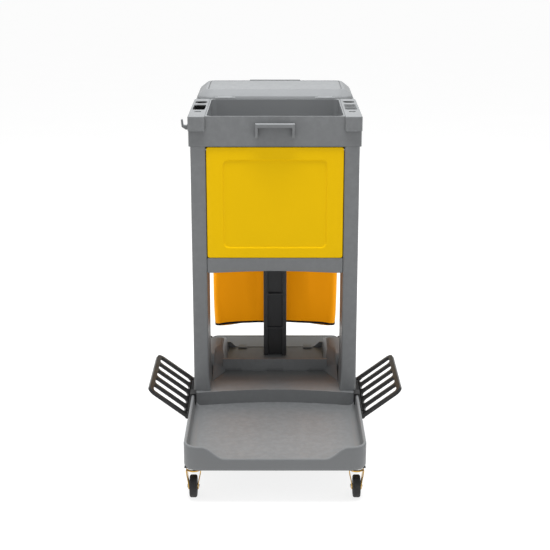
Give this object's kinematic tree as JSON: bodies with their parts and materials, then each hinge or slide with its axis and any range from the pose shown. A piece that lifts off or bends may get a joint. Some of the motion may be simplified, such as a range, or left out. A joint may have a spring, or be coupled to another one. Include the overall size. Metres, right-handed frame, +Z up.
{
  "type": "housekeeping cart",
  "caption": "Cleaning cart with a low front deck, top tray, flap-door cabinet, lidded rear bag, fold-out side racks, large rear wheels and front swivel casters.",
  "frame": {"origin": "on the floor, under the middle of the cart's length and width", "axes": "+Z up, -Y towards the low deck and its casters, +Y towards the bag, +X to the right seen from the deck end"},
  "size_m": [0.7778, 1.112, 1.0358],
  "materials": {
    "grey_plastic": "mid grey moulded polypropylene, lightly textured",
    "dark_plastic": "charcoal moulded plastic",
    "yellow_plastic": "yellow moulded plastic, satin",
    "black_plastic": "black moulded plastic",
    "bag_fabric": "yellow coated woven fabric with a black bound hem",
    "rubber": "black rubber",
    "amber_plastic": "amber moulded plastic",
    "steel": "bright plated steel",
    "zinc_steel": "steel with a yellow passivated zinc plating"
  },
  "bodies": {
    "cart": {"axle": "steel", "axle_cap_left": "steel", "axle_cap_right": "steel", "bag": "bag_fabric", "bag_frame": "grey_plastic", "bag_tab_left": "dark_plastic", "bag_tab_right": "dark_plastic", "base_housing": "grey_plastic", "cabinet_shell": "yellow_plastic", "caster_plate_left": "steel", "caster_plate_right": "steel", "caster_race_left": "steel", "caster_race_right": "steel", "column_foot": "grey_plastic", "front_deck": "grey_plastic", "lid_pin_left": "steel", "lid_pin_right": "steel", "mid_shelf": "grey_plastic", "plate_clip_left": "grey_plastic", "plate_clip_right": "grey_plastic", "plate_rib": "grey_plastic", "rack_bracket_left": "black_plastic", "rack_bracket_right": "black_plastic", "rack_pin_left": "steel", "rack_pin_right": "steel", "rear_column": "dark_plastic", "rear_plate": "grey_plastic", "side_hook": "grey_plastic", "side_upright_left": "grey_plastic", "side_upright_right": "grey_plastic", "tool_rail_left": "grey_plastic", "tool_rail_right": "grey_plastic", "top_tray": "grey_plastic", "tray_pull": "grey_plastic"},
    "lid": {"lid": "grey_plastic"},
    "door": {"cabinet_door": "yellow_plastic", "door_pin_left": "steel", "door_pin_right": "steel"},
    "rack_left": {"side_rack_left": "black_plastic"},
    "rear_wheel_left": {"rear_tyre_left": "rubber", "rear_rim_left": "dark_plastic", "rear_hub_left": "amber_plastic"},
    "caster_swivel_left": {"caster_fork_left": "zinc_steel", "caster_axle_left": "steel"},
    "caster_wheel_left": {"caster_tyre_left": "rubber", "caster_hub_left": "dark_plastic"},
    "rack_right": {"side_rack_right": "black_plastic"},
    "rear_wheel_right": {"rear_tyre_right": "rubber", "rear_rim_right": "dark_plastic", "rear_hub_right": "amber_plastic"},
    "caster_swivel_right": {"caster_fork_right": "zinc_steel", "caster_axle_right": "steel"},
    "caster_wheel_right": {"caster_tyre_right": "rubber", "caster_hub_right": "dark_plastic"}
  },
  "joints": [
    {"name": "lid_hinge", "type": "hinge", "parent": "cart", "child": "lid", "pos_m": [0, 0.2635, 1.0103], "axis": [1, 0, 0], "range_deg": [0, 100]},
    {"name": "door_hinge", "type": "hinge", "parent": "cart", "child": "door", "pos_m": [0, -0.086, 0.91], "axis": [1, 0, 0], "range_deg": [-90, 0]},
    {"name": "rack_fold_left", "type": "hinge", "parent": "cart", "child": "rack_left", "pos_m": [-0.2693, -0.001, 0.095], "axis": [0, 1, 0], "range_deg": [0, 52]},
    {"name": "rear_wheel_spin_left", "type": "hinge", "parent": "cart", "child": "rear_wheel_left", "pos_m": [-0.23, 0.274, 0.1015], "axis": [1, 0, 0], "continuous": true},
    {"name": "caster_turn_left", "type": "hinge", "parent": "cart", "child": "caster_swivel_left", "pos_m": [-0.229, -0.501, 0.085], "axis": [0, 0, 1], "continuous": true},
    {"name": "caster_spin_left", "type": "hinge", "parent": "caster_swivel_left", "child": "caster_wheel_left", "pos_m": [-0.229, -0.519, 0.032], "axis": [1, 0, 0], "continuous": true},
    {"name": "rack_fold_right", "type": "hinge", "parent": "cart", "child": "rack_right", "pos_m": [0.2693, -0.001, 0.095], "axis": [0, -1, 0], "range_deg": [0, 52]},
    {"name": "rear_wheel_spin_right", "type": "hinge", "parent": "cart", "child": "rear_wheel_right", "pos_m": [0.23, 0.274, 0.1015], "axis": [1, 0, 0], "continuous": true},
    {"name": "caster_turn_right", "type": "hinge", "parent": "cart", "child": "caster_swivel_right", "pos_m": [0.229, -0.501, 0.085], "axis": [0, 0, 1], "continuous": true},
    {"name": "caster_spin_right", "type": "hinge", "parent": "caster_swivel_right", "child": "caster_wheel_right", "pos_m": [0.229, -0.519, 0.032], "axis": [1, 0, 0], "continuous": true}
  ]
}
